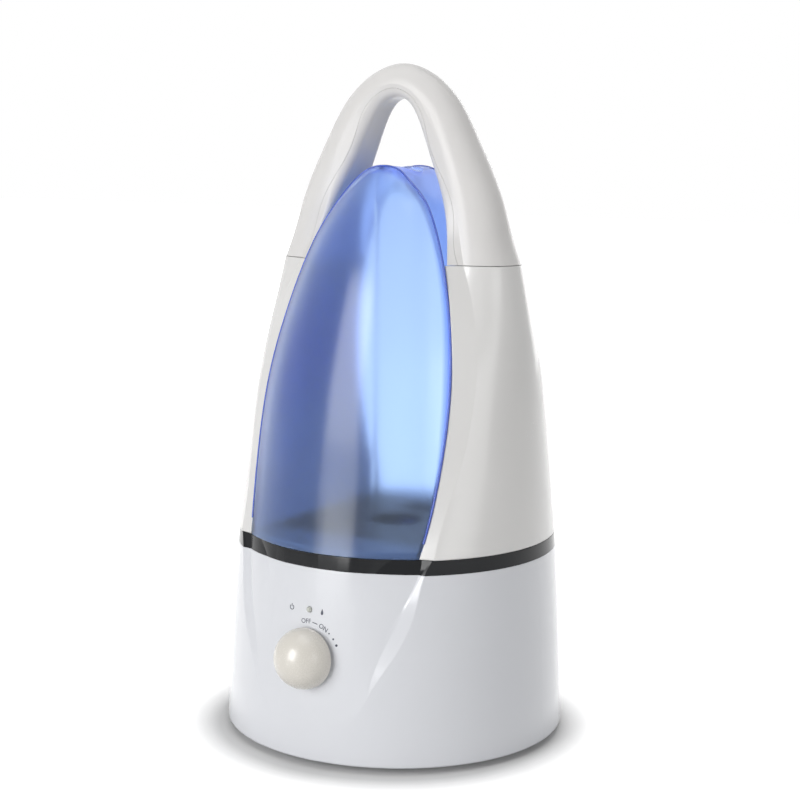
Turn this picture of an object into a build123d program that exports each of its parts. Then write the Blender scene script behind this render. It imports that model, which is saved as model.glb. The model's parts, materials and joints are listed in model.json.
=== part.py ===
from build123d import *
from math import cos, radians, sin, sqrt
import os

# sizes in millimetres, floor at z = 0, front of the object faces -Y
foot_height = 4.0
foot_radius = 8.0
foot_inset = 22.5
foot_angle = 40.0
base_bottom_radius = 100.5
base_top_radius = 94.0
base_bulge = 0.55
ring_bottom = 111.0
ring_height = 8.0
ring_width = 14.0
housing_wall = 3.0
leaf_wall = 4.2
recess_depth = 3.7
recess_tip = 18.0
leaf_half_width = 64.4
strip_width = 6.4
seam_gap = 0.3

tank_wall = 2.4
tank_floor_thickness = 3.0
tank_seat_gap = 0.3
crest_height = 331.5
finger_gap = 38.9
handle_thickness = 19.6
panel_gap = 0.3
panel_wall = 2.6
seam_height = 277.0
seam_line = 0.35
handle_wall = 2.6
liner_depth = 5.0
liner_wall = 2.2
liner_gap = 0.15
grip_round = 4.5

tube_radius = 16.0
tube_wall = 2.0
tube_bottom = 96.0
outlet_radius = 12.0
outlet_wall = 2.0
outlet_length = 19.5

basin_inset = 20.0
basin_wall = 3.0
basin_floor = 66.0
flange_inset = 8.0
ledge_width = 13.0
basin_screw_inset = 2.4
pipe_radius = 15.0
pipe_wall = 2.2
pipe_top = 100.0
pipe_x = -46.0

cap_y = 43.5
neck_radius = 21.0
neck_wall = 3.0
neck_bottom = 107.0
cap_radius = 25.0
cap_plate = 2.5
cap_clear = 0.4
gasket_height = 1.6
stem_radius = 3.0
stem_clear = 0.08
valve_open = 4.0
valve_foot = 1.8
stem_bottom = 95.5
seal_height = 1.5

float_x = 46.0
float_radius = 15.0
float_height = 13.0
float_travel = 14.0
post_radius = 4.5
post_clear = 0.5

knob_height = 61.0
knob_radius = 17.0
knob_skirt = 3.0
knob_dome = 15.0
knob_gap = 1.2
knob_tilt = 4.0
shaft_radius = 3.0
shaft_clear = 0.05
lamp_height = 87.8
lamp_radius = 1.6

fan_size = 50.0
fan_height = 15.0
fan_bottom = 9.5
blade_count = 7
cover_thickness = 3.0
screw_inset = 9.5
screw_angle = 60.0
screw_head = 1.8
gland_height = 21.0
gland_flange = 2.0
board_bottom = 15.0

base_bottom = foot_height
ring_top = ring_bottom + ring_height
tank_bottom = ring_top + tank_seat_gap
floor_top = tank_bottom + tank_floor_thickness
cap_top_plate = neck_bottom - gasket_height
cap_bottom = cap_top_plate - cap_plate
holder_top = basin_floor - basin_wall
handle_inside = crest_height + finger_gap
handle_top = handle_inside + handle_thickness
outlet_bottom = crest_height - outlet_length
ring_inner_radius = base_top_radius - ring_width
basin_radius = base_top_radius - basin_inset
basin_flange_radius = base_top_radius - flange_inset
foot_ring = base_bottom_radius - foot_inset
screw_ring = base_bottom_radius - screw_inset
cover_bottom = base_bottom + 0.4
cover_top = cover_bottom + cover_thickness
fan_top = fan_bottom + fan_height
flange_bottom = ring_bottom - 3
ledge_bottom = flange_bottom - 5
seal_bottom = cap_top_plate + valve_open
disc_bottom = seal_bottom + seal_height
foot_top = stem_bottom + valve_foot


def base_radius(z):
    t = (z - base_bottom) / (ring_top - base_bottom)
    return base_bottom_radius + t * (base_top_radius - base_bottom_radius) + 4 * base_bulge * t * (1 - t)


def leaf_depth(z):
    t = (z - recess_tip) / (ring_top - recess_tip)
    return recess_depth * t - 0.25 * (1 - t)


def leaf_ridge(z):
    t = max(z - recess_tip + 2, 0.0) / (ring_top - recess_tip + 2)
    return leaf_half_width * t ** 0.5 * (1.18 - 0.18 * t)


def slab(low, high, half=200):
    return Pos(0, 0, (low + high) / 2) * Box(2 * half, 2 * half, high - low)


def tube(x, y, low, high, outer, inner=0.0):
    body = Pos(x, y, (low + high) / 2) * Cylinder(outer, high - low)
    if inner > 0:
        body -= Pos(x, y, (low + high) / 2) * Cylinder(inner, high - low + 2)
    return body


def revolved(*edges):
    return revolve(Plane.XZ * make_face(Curve() + list(edges)), Axis.Z)


def base_revolve(inset, low, high):
    outer = [(base_radius(z) - inset, z) for z in (low, (low + high) / 2, high)]
    return revolved(
        ThreePointArc(*outer),
        Polyline(outer[2], (0, high), (0, low), outer[0]),
    )


def leaf_section(z, grow):
    ridge = leaf_ridge(z) + 0.8 * grow
    radius = base_radius(z) - leaf_depth(z) - grow * leaf_wall / housing_wall
    corner = max(ridge - strip_width - 1.6 * max(leaf_depth(z), 0.0) / recess_depth, 0.6)
    outer = base_radius(z) - grow
    y_ridge = -sqrt(outer ** 2 - ridge ** 2)
    y_corner = -sqrt(radius ** 2 - corner ** 2)
    reach = 3.0
    x_far = ridge + (ridge - corner) * reach
    y_far = min(y_ridge + (y_ridge - y_corner) * reach, y_ridge + 4)
    front = -130.0
    edges = Curve() + [
        ThreePointArc((-corner, y_corner), (0, -radius), (corner, y_corner)),
        Polyline((corner, y_corner), (ridge, y_ridge), (x_far, y_far), (x_far, front)),
        Polyline((x_far, front), (-x_far, front), (-x_far, y_far)),
        Polyline((-x_far, y_far), (-ridge, y_ridge), (-corner, y_corner)),
    ]
    return Pos(0, 0, z) * make_face(edges)


def leaf_cutter(grow):
    levels = (recess_tip, 27.0, 42.0, 64.0, 92.0, ring_top + 3)
    return loft([leaf_section(z, grow) for z in levels])


def base_body(inset, low, high):
    body = base_revolve(inset, low, high)
    cutter = leaf_cutter(inset)
    return body - cutter - Rot(0, 0, 180) * cutter


# share 0 is the foot of the tank, 1 the seam below the handle, 2 the crest
def level(share):
    if share < 1:
        return tank_bottom + share * (seam_height - tank_bottom)
    return seam_height + (share - 1) * (crest_height - seam_height)


# level share, then radius as a share of the base's top radius
tank_stations = (
    (0.258, 0.898),
    (0.575, 0.813),
    (0.867, 0.674),
    (1.422, 0.472),
    (1.752, 0.345),
    (2.0, 0.215),
)
# level share, then half width of the tank's front as a share of the base's top radius
arch_stations = (
    (0.0, 0.597),
    (0.29, 0.647),
    (0.575, 0.6425),
    (0.905, 0.538),
    (1.422, 0.386),
    (1.679, 0.289),
    (1.872, 0.179),
)


def tank_profile(grow):
    side = [(base_top_radius - recess_depth + grow, tank_bottom)]
    side += [(base_top_radius * radius + grow, level(share)) for share, radius in tank_stations]
    top = crest_height + 4
    low = tank_bottom - 5
    return revolved(
        Spline(side, tangents=[(-0.16, 1), (-0.9, 0.45)]),
        Polyline(side[-1], (12, top), (0, top), (0, low), (side[0][0], low), side[0]),
    )


def arch_prism(grow):
    side = [(base_top_radius * half, level(share)) for share, half in arch_stations]
    right = [(x + grow, z + (grow if z > seam_height + 13 else 0)) for x, z in side]
    crest = (0, crest_height + grow)
    low = tank_bottom - 10
    start = right[0]
    edge = Spline(right + [crest], tangents=[(0.16, 1), (-1, 0)])
    foot = Polyline((-start[0], start[1]), (-start[0], low), (start[0], low), start)
    outline = Curve() + [edge, mirror(edge, Plane.YZ), foot]
    return extrude(Plane.XZ * make_face(outline), 150, both=True)


def tank_block(grow, low=tank_bottom):
    return tank_profile(grow) & arch_prism(grow) & slab(low, handle_top)


# level share, then half width, ridge x and y, tank edge x and y as shares of the base's top radius
panel_stations = (
    (-0.122, 1.013, 0.660, 0.807, 0.569, 0.816),
    (0.017, 0.998, 0.688, 0.720, 0.602, 0.743),
    (0.182, 0.986, 0.714, 0.617, 0.636, 0.655),
    (0.372, 0.964, 0.757, 0.506, 0.651, 0.578),
    (0.575, 0.934, 0.764, 0.414, 0.6425, 0.497),
    (0.765, 0.890, 0.720, 0.333, 0.599, 0.423),
    (0.905, 0.847, 0.645, 0.282, 0.538, 0.367),
    (1.0, 0.815, 0.580, 0.252, 0.484, 0.330),
    (1.275, 0.767, 0.506, 0.221, 0.420, 0.291),
)


def panel_section(station, inset):
    share = station[0]
    width, x_ridge, y_ridge, x_edge, y_edge = [base_top_radius * value for value in station[1:]]
    ridge = Vector(x_ridge - 1.1 * inset, 1.25 * inset - y_ridge)
    edge = Vector(x_edge - 0.2 * inset, 1.25 * inset - y_edge)
    deep = edge + (edge - ridge) * 0.7
    front = [(deep.X, deep.Y), (ridge.X, ridge.Y)]
    back = [(ridge.X, -ridge.Y), (deep.X, -deep.Y), (deep.X, deep.Y)]
    edges = Curve() + [
        Polyline(*front),
        ThreePointArc(front[1], (width - inset, 0), back[0]),
        Polyline(*back),
    ]
    return Pos(0, 0, level(share)) * make_face(edges)


def panel_loft(inset):
    body = loft([panel_section(station, inset) for station in panel_stations])
    return body & slab(ring_top + tank_seat_gap, seam_height)


# height shares from the seam to the handle's inside and outside at its top, each with its x,
# then half depth at the inside and at the ridge, in shares of the base's top radius, then ridge share
handle_stations = (
    (-0.161, 0.548, -0.133, 0.846, 0.360, 0.282, 0.28),
    (0.0, 0.502, 0.0, 0.812, 0.315, 0.252, 0.26),
    (0.225, 0.436, 0.230, 0.720, 0.225, 0.209, 0.28),
    (0.514, 0.322, 0.496, 0.596, 0.166, 0.176, 0.32),
    (0.828, 0.182, 0.782, 0.410, 0.132, 0.151, 0.36),
    (0.974, 0.080, 0.942, 0.214, 0.116, 0.138, 0.38),
    (1.0, 0.0, 1.0, 0.0, 0.112, 0.134, 0.38),
)


# one cross-section of the handle: a point lies some way out from its inside face, at a half depth
class HandleCut:
    def __init__(self, station, side):
        low, x_in, high, x_out, y_in, y_ridge, share = station
        z_in = seam_height + low * (handle_inside - seam_height)
        z_out = seam_height + high * (handle_top - seam_height)
        self.inner = Vector(side * base_top_radius * x_in, 0, z_in)
        outer = Vector(side * base_top_radius * x_out, 0, z_out)
        self.length = (outer - self.inner).length
        self.along = (outer - self.inner).normalized()
        self.ridge = self.length * share
        self.y_in = base_top_radius * y_in
        self.slope = (base_top_radius * y_ridge - self.y_in) / self.ridge
        self.round = grip_round * min(0.15 + 1.6 * max(low, 0.0), 1.0)

    def half(self, way):
        return self.y_in + self.slope * way

    def point(self, way, half):
        return self.inner + self.along * way + Vector(0, half, 0)

    def outline(self, near, far, narrow):
        bend = max(self.round - 0.5 * near, 0.4)
        flat = self.half(near) - narrow - bend
        edge = self.half(near + bend) - narrow
        ridge = self.half(self.ridge) - narrow
        start = [self.point(near, -flat), self.point(near, flat)]
        right = [self.point(near + bend, edge), self.point(self.ridge, ridge)]
        left = [self.point(self.ridge, -ridge), self.point(near + bend, -edge)]
        middle = near + 0.293 * bend
        turn = flat + 0.707 * bend
        return make_face(Curve() + [
            Line(*start),
            ThreePointArc(start[1], self.point(middle, turn), right[0]),
            Line(*right),
            ThreePointArc(right[1], self.point(self.length - far, 0), left[0]),
            Line(*left),
            ThreePointArc(left[1], self.point(middle, -turn), start[0]),
        ])

    def inside(self, way):
        corners = [self.point(w, y) for w, y in ((-4, -60), (way, -60), (way, 60), (-4, 60), (-4, -60))]
        return make_face(Polyline(*corners))


def handle_loft(cut, *sizes):
    right = [cut(HandleCut(station, 1), *sizes) for station in handle_stations]
    left = [cut(HandleCut(station, -1), *sizes) for station in reversed(handle_stations[:-1])]
    return loft(right + left) & slab(seam_height + seam_line, handle_top + 10)


def ring_spots(radius, *angles):
    return [(radius * sin(radians(a)), -radius * cos(radians(a))) for a in angles]


def four_spots(radius, angle):
    return ring_spots(radius, angle, 180 - angle, 180 + angle, -angle)


def front_face(z):
    return Pos(0, leaf_depth(z) - base_radius(z), z) * Rot(90 - knob_tilt, 0, 0)


def back_face(z):
    return Pos(0, base_radius(z), z) * Rot(-90, 0, 0)


def group(solids):
    return Compound(children=[s for shape in solids for s in shape.solids()])


dial = front_face(knob_height)
lamp = front_face(lamp_height)
gland = back_face(gland_height)
feet_spots = four_spots(foot_ring, foot_angle)
cover_spots = four_spots(screw_ring, screw_angle)
basin_spots = four_spots(basin_flange_radius - basin_screw_inset, 45)
fan_spots = [(pipe_x + x * 21, y * 21) for x in (-1, 1) for y in (-1, 1)]
board_spots = [(24 + x * 28, -40 + y * 18) for x in (-1, 1) for y in (-1, 1)]
knob_tip = dial * Pos(0, 0, knob_gap + knob_skirt + knob_dome)
frame_shift = -(knob_tip.position.Y + base_radius(gland_height) + gland_flange) / 2


def make_housing():
    body = base_body(0, base_bottom, ring_bottom)
    body -= base_body(housing_wall, base_bottom - 1, ring_bottom + 1)
    ledge = tube(0, 0, ledge_bottom, flange_bottom, base_top_radius - 1, base_top_radius - ledge_width)
    body += ledge & base_body(1, ledge_bottom - 1, ring_bottom)
    for x, y in cover_spots:
        web = tube(1.08 * x, 1.08 * y, cover_top + 0.2, 34, 6.5)
        body += (tube(x, y, cover_top + 0.2, 34, 6.5) + web) & base_revolve(1, base_bottom, 60)
        body -= tube(x, y, cover_bottom, 24, 2.0)
    for x, y in basin_spots:
        body -= tube(x, y, ledge_bottom + 0.6, ring_bottom, 1.3)
    body -= dial * tube(0, 0, -12, 6, 4.7)
    body -= lamp * tube(0, 0, -12, 6, lamp_radius + 0.1)
    body -= gland * tube(0, 0, -12, 6, 6.2)
    return body


def make_ring():
    body = base_body(0, ring_bottom, ring_top)
    return body - tube(0, 0, ring_bottom - 1, ring_top + 1, ring_inner_radius)


def make_cover():
    body = tube(0, 0, cover_bottom, cover_top, base_bottom_radius - housing_wall - 0.5)
    for x, y in feet_spots:
        body -= tube(x, y, cover_bottom - 1, cover_bottom + 1.2, foot_radius + 0.1)
    for x, y in cover_spots:
        body -= tube(x, y, cover_bottom - 1, cover_top + 1, 2.2)
        body -= tube(x, y, cover_bottom - 1, cover_bottom + screw_head, 3.9)
    for x, y in fan_spots:
        body += tube(x, y, cover_top, fan_bottom, 3.4)
        body -= tube(x, y, cover_top + 0.5, fan_bottom + 1, 1.4)
    for x, y in board_spots:
        body += tube(x, y, cover_top, board_bottom, 3.2)
    for step in range(-4, 5):
        half = sqrt(20.0 ** 2 - (step * 4.4) ** 2)
        body -= Pos(pipe_x, step * 4.4, cover_bottom) * Box(2 * half, 2.4, 12)
    for step in (-1, 1):
        body += Pos(46 + step * 15, 30, cover_top + 0.5) * Box(5, 14, 1)
    return body


def make_feet():
    foot = tube(0, 0, 0, cover_bottom + 1.1, foot_radius)
    foot = chamfer(foot.edges().group_by(Axis.Z)[0], 0.8)
    return group([Pos(x, y, 0) * foot for x, y in feet_spots])


def make_basin():
    body = tube(0, 0, holder_top, ring_bottom, basin_radius)
    body += tube(0, 0, flange_bottom, ring_bottom, basin_flange_radius)
    body -= tube(0, 0, basin_floor, ring_bottom + 1, basin_radius - basin_wall)
    body += tube(pipe_x, 0, basin_floor, pipe_top, pipe_radius)
    body -= tube(pipe_x, 0, holder_top - 1, pipe_top + 1, pipe_radius - pipe_wall)
    body += tube(float_x, 0, basin_floor, 100, post_radius)
    body -= tube(float_x, 0, holder_top - 1, 92, 2.6)
    body += tube(0, cap_y, basin_floor, stem_bottom - seam_gap, 4)
    body -= tube(0, 0, holder_top - 1, basin_floor + 1, 11)
    for x, y in basin_spots:
        body -= tube(x, y, flange_bottom - 1, ring_bottom + 1, 1.6)
        body -= tube(x, y, ring_bottom - screw_head, ring_bottom + 1, 2.3)
    for x, y in ring_spots(18, 0, 120, 240):
        body -= tube(x, y, holder_top - 1, basin_floor - 0.8, 1.3)
    return body


def screw(x, y, head_z, length, head, shank, down=True):
    thick = screw_head - 0.2
    if down:
        return tube(x, y, head_z - thick, head_z, head) + tube(x, y, head_z - length, head_z, shank)
    return tube(x, y, head_z, head_z + thick, head) + tube(x, y, head_z, head_z + length, shank)


def make_knob():
    top = knob_gap + knob_skirt
    ball = (knob_radius ** 2 + knob_dome ** 2) / (2 * knob_dome)
    body = tube(0, 0, knob_gap, top, knob_radius)
    body += Pos(0, 0, top + knob_dome - ball) * Sphere(ball) & slab(top - 0.01, 60)
    body -= tube(0, 0, 0, top + 3, knob_radius - 2.4)
    body += tube(0, 0, 4, top + 4, 5.6)
    body -= tube(0, 0, 0, 14, shaft_radius + shaft_clear)
    return dial * body


def make_pot_body():
    body = tube(0, 0, -leaf_wall - 10, -leaf_wall - 0.6, 8)
    body += tube(0, 0, -leaf_wall - 1, 3.2, 4.4)
    body -= tube(0, 0, -leaf_wall - 8, 6, shaft_radius + shaft_clear)
    for step in (-1, 0, 1):
        body += Pos(step * 4, -10, -leaf_wall - 8) * Box(1.6, 6, 0.8)
    return dial * body


def make_pot_nut():
    body = extrude(Pos(0, 0, 0.5) * RegularPolygon(6.4, 6), 2.2)
    return dial * (body - tube(0, 0, -1, 5, 4.5))


def make_lamp():
    body = tube(0, 0, -leaf_wall - 1.4, 0.1, lamp_radius)
    body += Pos(0, 0, 0.1) * (Sphere(lamp_radius) & Pos(0, 0, 5) * Box(10, 10, 10))
    body += tube(0, 0, -leaf_wall - 1.8, -leaf_wall - 0.5, 3.6)
    return lamp * body


def make_gland():
    body = tube(0, 0, -leaf_wall - 4, gland_flange, 6)
    body += tube(0, 0, 0.6, gland_flange, 9)
    body += tube(0, 0, -leaf_wall - 3, -leaf_wall - 0.8, 8)
    return gland * (body - tube(0, 0, -20, 20, 3.2))


def make_transducer():
    return tube(0, 0, holder_top - 2.8, holder_top - 1.4, 10)


def make_transducer_seal():
    body = tube(0, 0, holder_top - 4.2, holder_top, 13, 8.6)
    return body - tube(0, 0, holder_top - 2.9, holder_top - 1.3, 10.1)


def make_holder():
    body = tube(0, 0, holder_top - 6.4, holder_top, 22, 8.6)
    body -= tube(0, 0, holder_top - 4.3, holder_top + 1, 13.1)
    for x, y in ring_spots(18, 0, 120, 240):
        body -= tube(x, y, holder_top - 8, holder_top + 1, 1.5)
    return body


def make_board():
    body = Pos(24, -40, board_bottom + 0.8) * Box(64, 44, 1.6)
    for x, y in board_spots:
        body -= tube(x, y, board_bottom - 1, board_bottom + 3, 1.4)
    return body


def make_board_parts():
    top = board_bottom + 1.6
    return group([
        tube(4, -32, top, top + 18, 5),
        tube(4, -48, top, top + 14, 4),
        tube(18, -52, top, top + 8, 6, 2.6),
        Pos(18, -32, top + 4) * Box(10, 8, 8),
        Pos(32, -54, top + 5) * Box(12, 7, 10),
    ])


def make_heat_sink():
    base = board_bottom + 1.6
    body = Pos(42, -38, base + 1.25) * Box(20, 18, 2.5)
    for step in range(-2, 3):
        body += Pos(42 + step * 4.4, -38, base + 11) * Box(1.4, 18, 20)
    return body


def make_core():
    body = Pos(46, 30, cover_top + 18) * Box(42, 16, 34)
    for side in (-1, 1):
        body -= Pos(46 + side * 10.5, 30, cover_top + 18) * Box(9, 20, 20)
    return body


def make_coil():
    body = Pos(46, 30, cover_top + 18) * Box(29.4, 28, 19.4)
    return body - Pos(46, 30, cover_top + 18) * Box(12.4, 16.4, 30)


def make_fan_frame():
    body = Pos(pipe_x, 0, (fan_bottom + fan_top) / 2) * Box(fan_size, fan_size, fan_height)
    body -= tube(pipe_x, 0, fan_bottom - 1, fan_top + 1, 22.6)
    for turn in (30, 150, 270):
        strut = Rot(0, 0, turn) * Pos(13, 0, 0) * Box(20, 2.4, 2)
        body += Pos(pipe_x, 0, fan_bottom + 1) * strut
    body += tube(pipe_x, 0, fan_bottom, fan_bottom + 2, 9)
    body -= tube(pipe_x, 0, fan_bottom + 0.6, fan_bottom + 4, 1.5 + shaft_clear)
    for x, y in fan_spots:
        body -= tube(x, y, fan_bottom - 1, fan_top + 1, 1.8)
    return body


def make_rotor():
    low = fan_bottom + 2.6
    high = fan_top - 1
    body = tube(0, 0, low, high, 10)
    blade = Pos(15, 0, (low + high) / 2) * Rot(38, 0, 0) * Box(13, 1.3, 11)
    for step in range(blade_count):
        body += Rot(0, 0, step * 360 / blade_count) * blade
    body &= tube(0, 0, low, high, 21.6)
    body += tube(0, 0, fan_bottom + 0.8, low, 1.5)
    return Pos(pipe_x, 0, 0) * body


def make_duct():
    low = fan_top + 0.2
    high = holder_top - 0.1
    outline = Polyline((22.4, low), (24.6, low), (17.4, high), (15.4, high), (22.4, low))
    return Pos(pipe_x, 0, 0) * revolved(outline)


def make_float():
    low = basin_floor + 0.6
    body = tube(float_x, 0, low, low + float_height, float_radius, post_radius + post_clear)
    return body - tube(float_x, 0, low - 1, low + 4.4, 10.1, 6.9)


def make_magnet():
    return tube(float_x, 0, basin_floor + 0.9, basin_floor + 4.9, 10, 7)


def make_clip():
    return tube(float_x, 0, basin_floor + float_height + float_travel + 3.4, 99.6, 8, post_radius + 0.05)


def make_reed():
    return tube(float_x, 0, 54, 91.6, 2.3)


def make_tank():
    shell = tank_block(0) - tank_block(-tank_wall, tank_bottom - 3)
    return shell - tube(0, 0, outlet_bottom - 10, crest_height + 10, outlet_radius + 0.1)


def make_tank_floor():
    body = tank_block(-tank_wall - 0.1) & slab(tank_bottom, floor_top)
    skirt = tube(0, 0, ring_bottom + 2, tank_bottom, ring_inner_radius - 1.6, ring_inner_radius - 3.8)
    body += skirt & Box(92, 400, 400)
    body += tube(0, cap_y, neck_bottom, tank_bottom, neck_radius)
    body -= tube(0, cap_y, neck_bottom - 1, floor_top + 1, neck_radius - neck_wall)
    return body - tube(0, 0, tank_bottom - 1, floor_top + 1, tube_radius + 0.1)


def make_tube():
    inner = tube_radius - tube_wall
    low = tube(0, 0, tube_bottom, floor_top + 4, tube_radius, inner)
    high = tube(0, 0, floor_top, crest_height + 3, tube_radius, inner)
    return low + (high & tank_block(-tank_wall - 0.15))


def make_outlet():
    inner = outlet_radius - outlet_wall
    body = tube(0, 0, outlet_bottom, crest_height + 4, outlet_radius, inner)
    body += tube(0, 0, outlet_bottom, outlet_bottom + 2.5, tube_radius - tube_wall - 0.15, inner)
    for turn in (0, 90):
        body += Pos(0, 0, outlet_bottom + 7) * Rot(0, 0, turn) * Box(2 * inner + 1, 1.8, 6)
    return body & tank_block(0)


def make_panel(side):
    body = panel_loft(0) - tank_block(panel_gap, tank_bottom - 3)
    body -= panel_loft(panel_wall) & slab(ring_top + 3.2, seam_height - 3)
    tongue_x = base_top_radius * (handle_stations[1][1] + handle_stations[1][3]) / 2
    body += Pos(tongue_x - 1.5, 0, seam_height + 3) * Box(9, 20, 12)
    return body if side > 0 else mirror(body, Plane.YZ)


def handle_hollow():
    body = handle_loft(HandleCut.outline, 0, 0, 0)
    return body - handle_loft(HandleCut.outline, liner_wall, handle_wall, handle_wall)


def make_handle():
    return handle_hollow() - handle_loft(HandleCut.inside, liner_depth + liner_gap)


def make_liner():
    return handle_hollow() & handle_loft(HandleCut.inside, liner_depth)


def make_cap():
    body = tube(0, cap_y, cap_bottom, tank_bottom - 0.8, cap_radius)
    body -= tube(0, cap_y, cap_top_plate, tank_bottom, neck_radius + cap_clear)
    body -= tube(0, cap_y, cap_bottom - 1, cap_top_plate + 1, 9)
    body += tube(0, cap_y, cap_bottom, cap_top_plate, 5.4)
    for turn in range(16):
        rib = Rot(0, 0, turn * 22.5) * Pos(cap_radius, 0, (cap_bottom + tank_bottom) / 2) * Box(1.6, 2, 12)
        body += Pos(0, cap_y, 0) * rib
    for turn in (0, 120, 240):
        arm = Rot(0, 0, turn) * Pos(7, 0, (cap_bottom + cap_top_plate) / 2) * Box(7, 2.2, cap_plate)
        body += Pos(0, cap_y, 0) * arm
    return body - tube(0, cap_y, cap_bottom - 1, cap_top_plate + 1, stem_radius + stem_clear)


def make_gasket():
    return tube(0, cap_y, cap_top_plate, neck_bottom, neck_radius, neck_radius - neck_wall)


def make_plunger():
    body = tube(0, cap_y, stem_bottom, disc_bottom + 2, stem_radius)
    body += tube(0, cap_y, stem_bottom, foot_top, 8)
    return body + tube(0, cap_y, disc_bottom, disc_bottom + 2, 10.4)


def make_valve_seal():
    return tube(0, cap_y, seal_bottom, disc_bottom, 11.4, stem_radius + 0.05)


def make_spring():
    wire = 0.45
    path = Helix(1.55, cap_bottom - foot_top - 2 * wire - 0.2, 6.3)
    coil = sweep(Plane(path @ 0, z_dir=path % 0) * Circle(wire), path)
    return Pos(0, cap_y, foot_top + wire + 0.1) * coil


pieces = {
    "base_housing": make_housing(),
    "trim_ring": make_ring(),
    "bottom_cover": make_cover(),
    "rubber_feet": make_feet(),
    "cover_screws": group([screw(x, y, cover_bottom + 0.2, 15, 3.6, 1.9, False) for x, y in cover_spots]),
    "water_basin": make_basin(),
    "basin_screws": group([screw(x, y, ring_bottom - 0.2, 7, 2.2, 1.2) for x, y in basin_spots]),
    "cord_gland": make_gland(),
    "control_knob": make_knob(),
    "pot_body": make_pot_body(),
    "pot_shaft": dial * tube(0, 0, -leaf_wall - 7.6, 13.6, shaft_radius),
    "pot_nut": make_pot_nut(),
    "indicator_lamp": make_lamp(),
    "transducer_disc": make_transducer(),
    "transducer_seal": make_transducer_seal(),
    "transducer_holder": make_holder(),
    "holder_screws": group(
        [screw(x, y, holder_top - 8, 9.6, 2.6, 1.2, False) for x, y in ring_spots(18, 0, 120, 240)]
    ),
    "driver_board": make_board(),
    "board_parts": make_board_parts(),
    "heat_sink": make_heat_sink(),
    "transformer_core": make_core(),
    "transformer_coil": make_coil(),
    "fan_frame": make_fan_frame(),
    "fan_rotor": make_rotor(),
    "fan_screws": group([screw(x, y, fan_top + 1.6, 18, 3, 1.3) for x, y in fan_spots]),
    "air_duct": make_duct(),
    "float_ring": make_float(),
    "float_magnet": make_magnet(),
    "float_clip": make_clip(),
    "reed_switch": make_reed(),
    "tank_shell": make_tank(),
    "tank_floor": make_tank_floor(),
    "mist_tube": make_tube(),
    "mist_outlet": make_outlet(),
    "right_panel": make_panel(1),
    "left_panel": make_panel(-1),
    "handle": make_handle(),
    "handle_liner": make_liner(),
    "tank_cap": make_cap(),
    "cap_gasket": make_gasket(),
    "valve_plunger": make_plunger(),
    "valve_seal": make_valve_seal(),
    "valve_spring": make_spring(),
}

os.makedirs("parts", exist_ok=True)
for name, shape in pieces.items():
    placed = [Pos(0, frame_shift, 0) * solid for solid in shape.solids()]
    export_step(placed[0] if len(placed) == 1 else Compound(children=placed), f"parts/{name}.step")
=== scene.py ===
import bpy
import bmesh
import json
from math import cos, pi, radians, sin
from mathutils import Matrix, Vector
from mathutils.bvhtree import BVHTree


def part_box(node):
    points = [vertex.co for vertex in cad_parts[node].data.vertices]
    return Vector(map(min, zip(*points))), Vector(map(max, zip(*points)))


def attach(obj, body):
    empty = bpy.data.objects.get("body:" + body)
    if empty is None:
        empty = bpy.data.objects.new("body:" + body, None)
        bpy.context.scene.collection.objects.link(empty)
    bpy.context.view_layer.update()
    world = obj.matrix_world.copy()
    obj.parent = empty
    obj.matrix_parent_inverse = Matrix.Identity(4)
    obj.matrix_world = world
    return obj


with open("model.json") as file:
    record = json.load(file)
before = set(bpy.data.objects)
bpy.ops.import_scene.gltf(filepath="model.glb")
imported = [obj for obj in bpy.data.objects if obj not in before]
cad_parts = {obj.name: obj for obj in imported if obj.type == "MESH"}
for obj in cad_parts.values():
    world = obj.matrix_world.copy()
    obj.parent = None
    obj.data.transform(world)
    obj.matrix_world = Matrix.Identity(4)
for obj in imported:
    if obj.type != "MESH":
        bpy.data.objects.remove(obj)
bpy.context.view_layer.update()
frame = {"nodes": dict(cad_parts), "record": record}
nodes = frame["nodes"]
ringLow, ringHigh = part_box("trim_ring")
axisY = (ringLow[1] + ringHigh[1]) / 2  # the base's upright axis
print("frame loaded:", len(nodes), "nodes, axis at", round(axisY, 5))

scene = bpy.context.scene
scene.view_settings.view_transform = "Standard"


# shader maths: a socket that takes part in Python expressions
class Socket:
    def __init__(self, tree, out):
        self.tree = tree
        self.out = out

    def combine(self, operation, first, second=None):
        node = self.tree.nodes.new("ShaderNodeMath")
        node.operation = operation
        for slot, value in zip(node.inputs, (first, second)):
            plug(self.tree, slot, value)
        return Socket(self.tree, node.outputs[0])

    def __add__(self, other):
        return self.combine("ADD", self, other)

    def __radd__(self, other):
        return self.combine("ADD", other, self)

    def __sub__(self, other):
        return self.combine("SUBTRACT", self, other)

    def __rsub__(self, other):
        return self.combine("SUBTRACT", other, self)

    def __mul__(self, other):
        return self.combine("MULTIPLY", self, other)

    def __rmul__(self, other):
        return self.combine("MULTIPLY", other, self)

    def __truediv__(self, other):
        return self.combine("DIVIDE", self, other)

    def __rtruediv__(self, other):
        return self.combine("DIVIDE", other, self)

    def __pow__(self, other):
        return self.combine("POWER", self, other)

    def __rpow__(self, other):
        return self.combine("POWER", other, self)


def plug(tree, slot, value):
    if value is None:
        return
    if isinstance(value, Socket):
        tree.links.new(value.out, slot)
    elif hasattr(slot.default_value, "__len__") and isinstance(value, (tuple, list)):
        size = len(slot.default_value)
        slot.default_value = (tuple(value) + (1.0,))[:size]
    else:
        slot.default_value = value


noiseSpan = (0.3, 0.7)  # the values that nearly all of a noise lies between
lampShare = 0.85  # how much of the lamps' light clear walls let by


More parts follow.
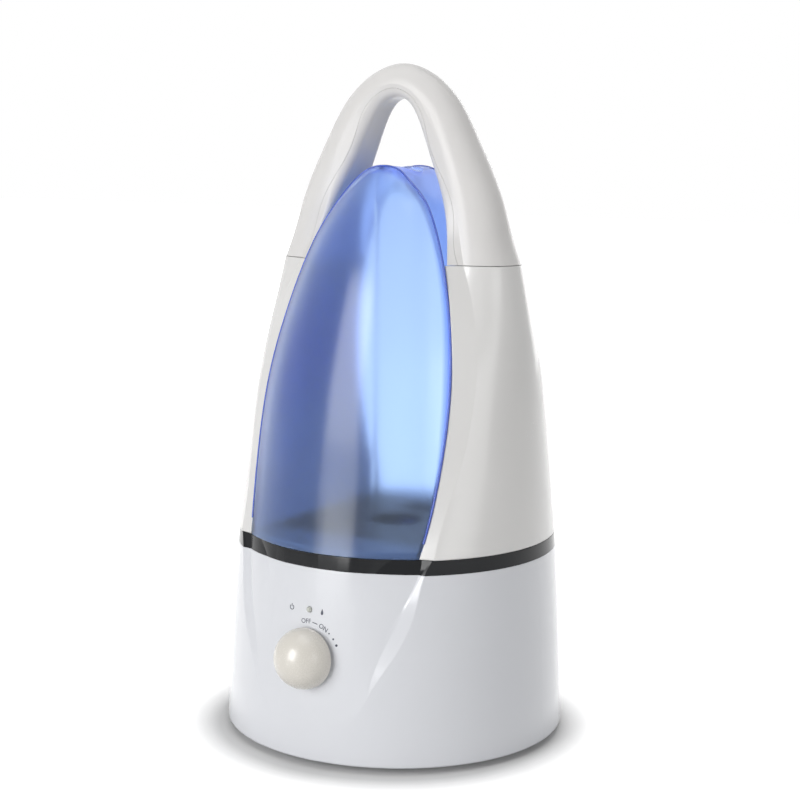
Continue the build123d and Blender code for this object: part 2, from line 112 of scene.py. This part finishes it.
# one finish: its tree, its Principled shader and a single way to add nodes
class Finish:
    def __init__(self, name, **sockets):
        self.material = bpy.data.materials.new(name)
        self.material.use_nodes = True
        self.tree = self.material.node_tree
        self.shader = self.tree.nodes["Principled BSDF"]
        self.output = self.tree.nodes["Material Output"]
        self.place = self.node("ShaderNodeTexCoord", out="Object")
        self.set(**sockets)

    def set(self, **sockets):
        for name, value in sockets.items():
            plug(self.tree, self.shader.inputs[name.replace("_", " ")], value)

    def node(self, kind, settings=None, out=0, **sockets):
        made = self.tree.nodes.new(kind)
        for key, value in (settings or {}).items():
            setattr(made, key, value)
        for name, value in sockets.items():
            label = name.replace("_", " ")
            slot = made.inputs[int(name[1:])] if name[1:].isdigit() else made.inputs[label]
            plug(self.tree, slot, value)
        return Socket(self.tree, made.outputs[out])

    def noise(self, scale, detail=3.0, rough=0.5, vector=None):
        return self.node(
            "ShaderNodeTexNoise", out="Fac", Vector=vector or self.place,
            Scale=scale, Detail=detail, Roughness=rough,
        )

    def mix(self, factor, first, second):
        return self.node(
            "ShaderNodeMix", {"data_type": "RGBA"}, out=2, i0=factor, i6=first, i7=second,
        )

    def clampRange(self, value, low, high, lowOut=0.0, highOut=1.0):
        return self.node(
            "ShaderNodeMapRange", {"clamp": True}, Value=value, i1=low, i2=high, i3=lowOut, i4=highOut,
        )

    def frost(self, gloss):
        return self.clampRange(self.noise(14.0, 3.0, 0.5), *noiseSpan, gloss - 0.03, gloss + 0.03)

    def bump(self, height, distance, strength=1.0, normal=None):
        return self.node(
            "ShaderNodeBump", Height=height, Distance=distance, Strength=strength, Normal=normal,
        )

    # lamps shine through a see-through wall and light what is behind it
    def lightPasses(self, colour, share):
        shadow = self.node("ShaderNodeLightPath", out="Is Shadow Ray")
        clear = self.node("ShaderNodeBsdfTransparent", Color=colour)
        wall = Socket(self.tree, self.shader.outputs[0])
        whole = self.node("ShaderNodeMixShader", i0=shadow * share, i1=wall, i2=clear)
        self.tree.links.new(whole.out, self.output.inputs["Surface"])


# moulded plastic: faint cloudiness in the colour, slow ripple and fine grain in the gloss, eased edges
def mouldedPlastic(name, colour, shade, gloss, ripple=0.00002, grain=0.000001, easedEdge=0.0, **extra):
    finish = Finish(name, **extra)
    cloud = finish.noise(7.0, 4.0, 0.55)
    wave = finish.noise(45.0, 1.0, 0.4)
    fine = finish.noise(1400.0, 2.0, 0.5)
    eased = None
    if easedEdge > 0:
        eased = finish.node("ShaderNodeBevel", {"samples": 6}, Radius=easedEdge)
    finish.set(
        Base_Color=finish.mix(finish.clampRange(cloud, *noiseSpan), shade, colour),
        Roughness=finish.clampRange(cloud * 0.7 + fine * 0.3, *noiseSpan, gloss - 0.04, gloss + 0.05),
        Normal=finish.bump(wave * (ripple / grain) + fine, grain, 1.0, eased),
    )
    return finish.material


def brushedMetal(name, colour, shade, gloss):
    finish = Finish(name, Metallic=1.0)
    streak = finish.node("ShaderNodeMapping", Vector=finish.place, Scale=(900.0, 60.0, 60.0))
    lines = finish.noise(1.0, 3.0, 0.6, streak)
    finish.set(
        Base_Color=finish.mix(lines, shade, colour),
        Roughness=finish.clampRange(lines, *noiseSpan, gloss - 0.08, gloss + 0.1),
        Normal=finish.bump(lines, 0.00001, 0.5),
    )
    return finish.material


def softRubber(name, colour, shade):
    finish = Finish(name)
    grain = finish.noise(900.0, 3.0, 0.6)
    finish.set(
        Base_Color=finish.mix(grain, shade, colour),
        Roughness=finish.clampRange(grain, *noiseSpan, 0.6, 0.8),
        Normal=finish.bump(grain, 0.00004, 0.8),
    )
    return finish.material


# the tank's front is an arch, close to half an ellipse, and a deeper blue is painted along that edge:
# painted shade for the darker look light takes through the bending wall
tankLook = {
    "colour": (0.615, 0.75, 0.975),
    # painted shade colour along the arch edge
    "edge": (0.22, 0.34, 0.90),
    "archHalf": 0.0606,
    "archFoot": 0.170,
    "archRise": 0.1615,
    "edgeStart": 0.945,
    "edgeEnd": 0.985,
    "gloss": 0.30,
    "lampTint": (0.84, 0.92, 1.0),
}


def tankBlue(name, look):
    finish = Finish(name, Transmission_Weight=0.985, IOR=1.14, Coat_Weight=0.42, Coat_Roughness=0.12)
    x, z = [finish.node("ShaderNodeSeparateXYZ", out=axis, Vector=finish.place) for axis in "XZ"]
    across = (x / look["archHalf"]) ** 2.0
    upward = ((z - look["archFoot"]) / look["archRise"]) ** 2.0
    # painted shade: the mask of the deeper blue along the arch edge
    edgeShadeMask = finish.clampRange(across + upward, look["edgeStart"], look["edgeEnd"])
    finish.set(
        Base_Color=finish.mix(edgeShadeMask, look["colour"], look["edge"]),
        Roughness=finish.frost(look["gloss"]),
    )
    finish.lightPasses(look["lampTint"], lampShare)
    return finish.material


# see-through plastic, frosted by its roughness
def clearPlastic(name, colour, shade, gloss, bend):
    finish = Finish(name, Transmission_Weight=1.0, IOR=bend, Coat_Weight=0.2, Coat_Roughness=0.08)
    cloud = finish.noise(14.0, 3.0, 0.5)
    finish.set(
        Base_Color=finish.mix(finish.clampRange(cloud, *noiseSpan), shade, colour),
        Roughness=finish.frost(gloss),
    )
    finish.lightPasses(colour, lampShare)
    return finish.material


# the tank's floor has painted shade: dark over the ring of the base and paler along its front, for the
# shaded ring and basin below it; its far rim keeps a pale blue tint
floorLook = {
    "far": (0.62, 0.74, 0.92),
    "band": (0.006, 0.009, 0.016),
    "near": (0.12, 0.17, 0.27),
    "bandFront": -0.056,
    "bandBack": 0.062,
    "blur": 0.008,
    "gloss": 0.32,
    "lampShare": 0.5,
}


def floorWithPaintedShade(name, look):
    finish = Finish(name, Transmission_Weight=0.4, IOR=1.2, Coat_Weight=0.2, Coat_Roughness=0.08)
    y = finish.node("ShaderNodeSeparateXYZ", out="Y", Vector=finish.place)
    front, back, blur = axisY + look["bandFront"], axisY + look["bandBack"], look["blur"]
    # painted shade: near-black band over the base's ring, a lighter dark along the front
    dark = finish.mix(finish.clampRange(y, front - blur, front + blur), look["near"], look["band"])
    finish.set(
        Base_Color=finish.mix(finish.clampRange(y, back - blur, back + blur), dark, look["far"]),
        Roughness=finish.frost(look["gloss"]),
    )
    finish.lightPasses(look["far"], look["lampShare"])
    return finish.material


easing = {"easedEdge": 0.0014, "Coat_Weight": 0.2}  # what the panels and the base share
finishes = {
    "white_shell": mouldedPlastic(
        "warmWhite", (0.765, 0.757, 0.745), (0.745, 0.737, 0.725), 0.24, **easing,
    ),
    "handle_white": mouldedPlastic(
        "handleWhite", (0.775, 0.762, 0.750), (0.755, 0.742, 0.730), 0.24, IOR=1.27,
    ),
    "base_white": mouldedPlastic(
        "coolWhite", (0.712, 0.725, 0.760), (0.692, 0.705, 0.742), 0.22, **easing,
    ),
    "black_gloss": mouldedPlastic(
        "blackTrim", (0.01, 0.011, 0.013), (0.007, 0.008, 0.01), 0.12, IOR=1.3,
    ),
    "grey_plastic": mouldedPlastic("basinGrey", (0.62, 0.63, 0.65), (0.58, 0.59, 0.61), 0.42),
    "black_rubber": softRubber("blackRubber", (0.020, 0.020, 0.021), (0.013, 0.013, 0.014)),
    "screw_steel": brushedMetal("screwSteel", (0.66, 0.66, 0.67), (0.50, 0.50, 0.51), 0.32),
    "cream_knob": mouldedPlastic(
        "creamKnob", (0.72, 0.69, 0.63), (0.7, 0.665, 0.605), 0.26, Coat_Weight=0.15,
    ),
    "pot_metal": brushedMetal("plateMetal", (0.60, 0.58, 0.53), (0.48, 0.46, 0.42), 0.38),
    "lamp_lens": mouldedPlastic("lampLens", (0.56, 0.57, 0.52), (0.48, 0.50, 0.45), 0.14),
    "disc_metal": brushedMetal("discMetal", (0.72, 0.68, 0.58), (0.58, 0.55, 0.47), 0.30),
    "alloy": brushedMetal("castAlloy", (0.72, 0.73, 0.74), (0.60, 0.61, 0.62), 0.42),
    "board_green": mouldedPlastic("boardGreen", (0.03, 0.16, 0.06), (0.02, 0.11, 0.04), 0.35),
    "board_parts": mouldedPlastic("partBlack", (0.05, 0.05, 0.06), (0.03, 0.03, 0.04), 0.45),
    "core_iron": brushedMetal("coreIron", (0.24, 0.24, 0.25), (0.17, 0.17, 0.18), 0.50),
    "copper_wire": brushedMetal("copperWire", (0.62, 0.30, 0.13), (0.45, 0.20, 0.08), 0.36),
    "fan_black": mouldedPlastic("fanBlack", (0.03, 0.03, 0.034), (0.02, 0.02, 0.023), 0.45),
    "float_white": mouldedPlastic("floatWhite", (0.78, 0.78, 0.75), (0.72, 0.72, 0.69), 0.45),
    "blue_clear": tankBlue("clearBlue", tankLook),
    # with refraction the outlet showed as a dark block in the crest, so it is clear by its alpha
    "outlet_clear": mouldedPlastic(
        "outletBlue", (0.80, 0.88, 1.0), (0.78, 0.86, 0.99), 0.30, Alpha=0.15,
    ),
    # the bead's deep blue is painted shade along the tank's edge
    "arch_blue": mouldedPlastic("archEdgeShade", (0.055, 0.11, 0.52), (0.045, 0.095, 0.47), 0.25),
    "tube_clear": clearPlastic("clearTube", (0.985, 0.99, 1.0), (0.97, 0.98, 1.0), 0.20, 1.025),
    "floor_clear": floorWithPaintedShade("floorPaintedShade", floorLook),
    "cap_blue": mouldedPlastic("capBlue", (0.06, 0.12, 0.38), (0.04, 0.09, 0.30), 0.28),
    "dial_ink": mouldedPlastic("dialInk", (0.055, 0.060, 0.095), (0.040, 0.045, 0.075), 0.45),
}
ownFinish = {
    "base_housing": "base_white",
    "handle": "handle_white",
    "handle_liner": "handle_white",
    "mist_tube": "tube_clear",
    "mist_outlet": "outlet_clear",
    "tank_floor": "floor_clear",
}

slotOf = {entry["node"]: entry["material_slot"] for entry in frame["record"]["subparts"]}
for name, obj in nodes.items():
    obj.data.materials.clear()
    obj.data.materials.append(finishes[ownFinish.get(name, slotOf[name])])
print("finishes set:", len(finishes))

dialPrint = {
    "knobHeight": 61.0,
    "scaleRadius": 20.2,
    "capHeight": 2.6,
    "words": (("OFF", -5.0), ("ON", 28.0)),
    "dash": (7.0, 16.5, 0.45),
    "dots": ((41.0, 0.42), (52.0, 0.55), (63.0, 0.72)),
    "icons": ((-12.2, 87.3), (8.2, 87.6)),
    "powerRing": (1.1, 1.5, 35.0, 325.0),
    "powerStroke": (0.2, 0.3, 2.0),
    "dropSize": 1.7,
    "lift": 0.06,
    "thickness": 0.00008,  # this and the next in metres
    "rayStart": -0.5,
}
capShare = 0.7  # a capital's height as a share of the font's size
millimetre = 0.001  # the print is drawn in millimetres

# the print follows the housing's own front: a ray from before it finds the surface
frontTree = BVHTree.FromPolygons(
    [vertex.co for vertex in nodes["base_housing"].data.vertices],
    [tuple(polygon.vertices) for polygon in nodes["base_housing"].data.polygons],
)


def ontoFront(x, z, lift):
    start = Vector((x * millimetre, dialPrint["rayStart"], z * millimetre))
    place, normal = frontTree.ray_cast(start, Vector((0, 1, 0)))[:2]
    return place + normal * (lift * millimetre)


# printed shapes are drawn flat in millimetres round the knob, then laid on the curved front
def wordMesh(word, capHeight):
    curve = bpy.data.curves.new("word", "FONT")
    curve.body = word
    curve.size = capHeight / capShare
    curve.align_x = "CENTER"
    curve.align_y = "CENTER"
    curve.resolution_u = 4
    holder = bpy.data.objects.new("word", curve)
    mesh = bpy.data.meshes.new_from_object(holder)
    points = [vertex.co.copy() for vertex in mesh.vertices]
    faces = [tuple(polygon.vertices) for polygon in mesh.polygons]
    bpy.data.objects.remove(holder)
    return points, faces


def roundPoint(radius, turn):
    return Vector((radius * sin(turn), radius * cos(turn), 0))


def ringShape(inner, outer, start=0.0, end=360.0, steps=28):
    points = []
    for step in range(steps + 1):
        turn = radians(start + (end - start) * step / steps)
        points += [roundPoint(inner, turn), roundPoint(outer, turn)]
    faces = [(2 * k, 2 * k + 1, 2 * k + 3, 2 * k + 2) for k in range(steps)]
    return points, faces


def dotShape(radius, steps=20):
    return [roundPoint(radius, 2 * pi * k / steps) for k in range(steps)], [tuple(range(steps))]


def strokeShape(half, low, high):
    corners = ((-half, low, 0), (half, low, 0), (half, high, 0), (-half, high, 0))
    return [Vector(corner) for corner in corners], [(0, 1, 2, 3)]


def dropShape(size, width=0.62, taper=1.4, steps=24):
    points = []
    for step in range(steps):
        turn = 2 * pi * step / steps
        narrow = sin(turn / 2) ** taper
        points.append(Vector((width * size * sin(turn) * narrow, size * cos(turn), 0)))
    return points, [tuple(range(steps))]


def addDialPrint(look):
    points, faces = [], []

    def lay(shape, x, z, turn=0.0):
        spin = Matrix.Rotation(radians(-turn), 3, "Z")
        base = len(points)
        for point in shape[0]:
            placed = spin @ point
            points.append(ontoFront(x + placed.x, z + placed.y, look["lift"]))
        faces.extend(tuple(base + index for index in face) for face in shape[1])

    def roundKnob(shape, angle, turn):
        place = roundPoint(look["scaleRadius"], radians(angle))
        lay(shape, place.x, look["knobHeight"] + place.y, turn)

    for word, angle in look["words"]:
        roundKnob(wordMesh(word, look["capHeight"]), angle, angle)
    start, end, width = look["dash"]
    radius = look["scaleRadius"]
    dash = ringShape(radius - width / 2, radius + width / 2, start, end, steps=8)
    lay(dash, 0.0, look["knobHeight"])
    for angle, radius in look["dots"]:
        roundKnob(dotShape(radius), angle, 0.0)
    (ringX, ringZ), (dropX, dropZ) = look["icons"]
    lay(ringShape(*look["powerRing"]), ringX, ringZ)
    lay(strokeShape(*look["powerStroke"]), ringX, ringZ)
    lay(dropShape(look["dropSize"]), dropX, dropZ)
    mesh = bpy.data.meshes.new("dialPrint")
    mesh.from_pydata(points, [], faces)
    shape = bmesh.new()
    shape.from_mesh(mesh)
    bmesh.ops.remove_doubles(shape, verts=shape.verts, dist=1e-6)
    for face in shape.faces:
        face.normal_update()
        if face.normal.y > 0:
            face.normal_flip()
    shape.to_mesh(mesh)
    shape.free()
    mesh.materials.append(finishes["dial_ink"])
    obj = bpy.data.objects.new("dialPrint", mesh)
    scene.collection.objects.link(obj)
    solid = obj.modifiers.new("thickness", "SOLIDIFY")
    solid.thickness = look["thickness"]
    solid.offset = 0.0
    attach(obj, "base")


addDialPrint(dialPrint)
print("dial print laid on the front")

# a fine deep-blue bead where the tank's curved front and back turn into its flanks: painted shade, a
# dark line standing in for the dark look of the clear plastic at that bend
archShadeBead = {
    "radius": 0.0006,
    "sides": 8,
    "flank": 0.25,  # how far a flank may face the front or the back
    "bend": (0.3, 1.4),  # the turn from wall to flank
    "lowest": 0.127,
    "crestShare": 0.03,  # lets flanks that face up count as outer ones
}


def archEdges(look):
    shape = bmesh.new()
    shape.from_mesh(nodes["tank_shell"].data)
    bmesh.ops.remove_doubles(shape, verts=shape.verts, dist=1e-6)
    bmesh.ops.recalc_face_normals(shape, faces=shape.faces)
    shape.verts.index_update()
    points, pairs, index = [], [], {}
    for edge in shape.edges:
        if len(edge.link_faces) != 2 or min(end.co.z for end in edge.verts) < look["lowest"]:
            continue
        flank = min(edge.link_faces, key=lambda face: abs(face.normal.y))
        middle = flank.calc_center_median()
        outward = flank.normal.x * middle.x + flank.normal.z * look["crestShare"]
        if abs(flank.normal.y) > look["flank"] or outward < 0:
            continue
        if not look["bend"][0] < edge.calc_face_angle() < look["bend"][1]:
            continue
        ends = []
        for end in edge.verts:
            if end.index not in index:
                index[end.index] = len(points)
                points.append(end.co.copy())
            ends.append(index[end.index])
        pairs.append(ends)
    shape.free()
    return points, pairs


def beadTree(sides):
    tree = bpy.data.node_groups.new("edgeShadeBead", "GeometryNodeTree")
    tree.interface.new_socket("Geometry", in_out="INPUT", socket_type="NodeSocketGeometry")
    radius = tree.interface.new_socket("Bead Radius", in_out="INPUT", socket_type="NodeSocketFloat")
    tree.interface.new_socket("Geometry", in_out="OUTPUT", socket_type="NodeSocketGeometry")
    source, target = tree.nodes.new("NodeGroupInput"), tree.nodes.new("NodeGroupOutput")
    path = tree.nodes.new("GeometryNodeMeshToCurve")
    profile = tree.nodes.new("GeometryNodeCurvePrimitiveCircle")
    profile.inputs["Resolution"].default_value = sides
    sweep = tree.nodes.new("GeometryNodeCurveToMesh")
    sweep.inputs["Fill Caps"].default_value = True
    whole = tree.nodes.new("GeometryNodeRealizeInstances")
    colour = tree.nodes.new("GeometryNodeSetMaterial")
    colour.inputs["Material"].default_value = finishes["arch_blue"]
    tree.links.new(source.outputs["Geometry"], path.inputs["Mesh"])
    tree.links.new(source.outputs["Bead Radius"], profile.inputs["Radius"])
    tree.links.new(path.outputs["Curve"], sweep.inputs["Curve"])
    tree.links.new(profile.outputs["Curve"], sweep.inputs["Profile Curve"])
    tree.links.new(sweep.outputs["Mesh"], whole.inputs["Geometry"])
    tree.links.new(whole.outputs["Geometry"], colour.inputs["Geometry"])
    tree.links.new(colour.outputs["Geometry"], target.inputs["Geometry"])
    return tree, radius.identifier


def addArchShadeBead(look):
    points, pairs = archEdges(look)
    mesh = bpy.data.meshes.new("archPath")
    mesh.from_pydata(points, pairs, [])
    obj = bpy.data.objects.new("archShadeBead", mesh)
    scene.collection.objects.link(obj)
    tree, radiusInput = beadTree(look["sides"])
    sweep = obj.modifiers.new("edgeShadeBead", "NODES")
    sweep.node_group = tree
    sweep[radiusInput] = look["radius"]
    shown = obj.evaluated_get(bpy.context.evaluated_depsgraph_get())
    bead = bpy.data.meshes.new_from_object(shown)
    obj.modifiers.remove(sweep)
    obj.data = bead
    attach(obj, "tank")
    print("arch bead:", len(pairs), "edges,", len(bead.polygons), "faces")


addArchShadeBead(archShadeBead)

# camera at the picture's viewing angle
cameraFit = {
    "azimuth": 30.7,
    "distance": 0.9657,
    "height": 0.3366,
    "pitch": 8.40,
    "roll": 0.84,
    "sideStep": 0.0006,
    "lens": 74.06,
}


def addCamera(fit):
    data = bpy.data.cameras.new("viewCamera")
    data.lens = fit["lens"]
    data.sensor_width = 36.0
    data.clip_start = 0.01
    turn = Matrix.Rotation(radians(fit["azimuth"]), 4, "Z")
    tip = Matrix.Rotation(radians(90 - fit["pitch"]), 4, "X")
    roll = Matrix.Rotation(radians(fit["roll"]), 4, "Z")
    place = Matrix.Translation((fit["sideStep"], -fit["distance"], fit["height"]))
    camera = bpy.data.objects.new("viewCamera", data)
    camera.matrix_world = Matrix.Translation((0, axisY, 0)) @ turn @ place @ tip @ roll
    scene.collection.objects.link(camera)
    scene.camera = camera


addCamera(cameraFit)
print("camera set")

studio = {
    "worldLight": 0.26,
    "floorHalf": 8.0,
    "floorColour": (0.72, 0.72, 0.72),
    # a dim glow near the base: painted shadow round it
    "floorGlowNearShade": (0.03, 0.03, 0.03),
    "floorRamp": (0.1015, 0.135),
    "floorFar": (1.0, 1.0, 1.0),
    "lamps": (
        ("softBox", (-0.45, -1.60, 0.66), (0.0, 0.0, 0.22), (1.0, 1.1), 14.2),
        ("tallCard", (-0.45, -1.60, 0.80), (0.0, 0.0, 0.22), (0.8, 1.0), 13.0),
        ("sideFill", (1.9, -0.6, 0.55), (0.0, 0.0, 0.15), (0.9, 0.9), 5.8),
        ("backFill", (0.0, 1.9, 0.6), (0.0, 0.0, 0.2), (1.2, 1.0), 6.0),
        ("topBox", (0.0, 0.1, 2.1), (0.0, 0.0, 0.2), (1.6, 1.6), 12.0),
        ("lowStrip", (-0.18, -0.83, 0.135), (0.0, 0.0, 0.12), (0.34, 0.09), 0.52),
    ),
    "onlyReflected": ("tallCard",),  # shows in the gloss and adds no light
}


# the rays that see the pale surroundings at full white: direct, mirrored or through glass
def whiteRays(tree):
    path = tree.nodes.new("ShaderNodeLightPath")
    names = ("Is Camera Ray", "Is Glossy Ray", "Is Transmission Ray")
    seen, gloss, through = [Socket(tree, path.outputs[name]) for name in names]
    return seen + gloss + through


def addWorld(strength):
    world = bpy.data.worlds.new("paleStudio")
    scene.world = world
    world.use_nodes = True
    tree = world.node_tree
    tree.nodes.clear()
    rays = whiteRays(tree)
    shown = rays.combine("MINIMUM", rays, 1.0)
    light = tree.nodes.new("ShaderNodeBackground")
    light.inputs["Color"].default_value = (1.0, 1.0, 1.0, 1.0)
    plug(tree, light.inputs["Strength"], shown * (1.0 - strength) + strength)
    out = tree.nodes.new("ShaderNodeOutputWorld")
    tree.links.new(light.outputs[0], out.inputs["Surface"])


def addFloor(look):
    half = look["floorHalf"]
    mesh = bpy.data.meshes.new("paleFloor")
    corners = [(-half, -half, 0), (half, -half, 0), (half, half, 0), (-half, half, 0)]
    mesh.from_pydata(corners, [], [(0, 1, 2, 3)])
    floor = bpy.data.objects.new("paleFloor", mesh)
    scene.collection.objects.link(floor)
    finish = Finish("floorPaper", Base_Color=look["floorColour"], Roughness=0.9)
    # the floor's glow fades out towards the base: painted shadow round it, on top of the lamps' real
    # shadow
    away = finish.node("ShaderNodeVectorMath", {"operation": "LENGTH"}, out="Value", i0=finish.place)
    lift = finish.mix(finish.clampRange(away, *look["floorRamp"]), look["floorGlowNearShade"], look["floorFar"])
    glow = finish.mix(whiteRays(finish.tree), (0.0, 0.0, 0.0), lift)
    finish.set(Emission_Color=glow, Emission_Strength=1.0)
    mesh.materials.append(finish.material)


def addLamp(name, place, target, size, power):
    data = bpy.data.lights.new(name, "AREA")
    data.shape = "RECTANGLE"
    data.size, data.size_y = size
    data.energy = power
    lamp = bpy.data.objects.new(name, data)
    lamp.location = place
    lamp.rotation_euler = (Vector(target) - Vector(place)).to_track_quat("-Z", "Y").to_euler()
    lamp.visible_camera = False
    lamp.visible_transmission = False
    lamp.visible_diffuse = name not in studio["onlyReflected"]
    scene.collection.objects.link(lamp)


addWorld(studio["worldLight"])
addFloor(studio)
for lampSpec in studio["lamps"]:
    addLamp(*lampSpec)
print("studio set")
